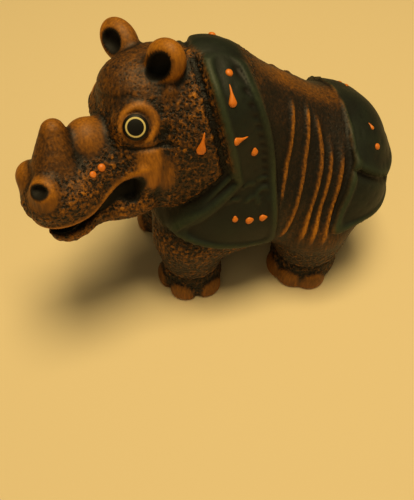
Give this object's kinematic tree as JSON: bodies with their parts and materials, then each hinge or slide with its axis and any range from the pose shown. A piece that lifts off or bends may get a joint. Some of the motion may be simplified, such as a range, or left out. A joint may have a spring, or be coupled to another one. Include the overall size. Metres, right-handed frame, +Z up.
{
  "type": "animal figurine",
  "caption": "Rhinoceros figurine in fired clay, standing on stub feet with its head turned, with raised armour plates, ribs, horns, cupped ears and an open mouth",
  "frame": {"origin": "middle of the figure's bounding box at the level of its soles", "axes": "+X from nose to tail, +Y to the figure's right side, +Z up"},
  "size_m": [0.1282, 0.0674, 0.1012],
  "materials": {
    "clay": "matt fired clay, dark wash in the hollows, dry-brushed orange on the high places, matt green plates"
  },
  "bodies": {
    "root": {"rhinoceros": "clay"}
  },
  "joints": []
}
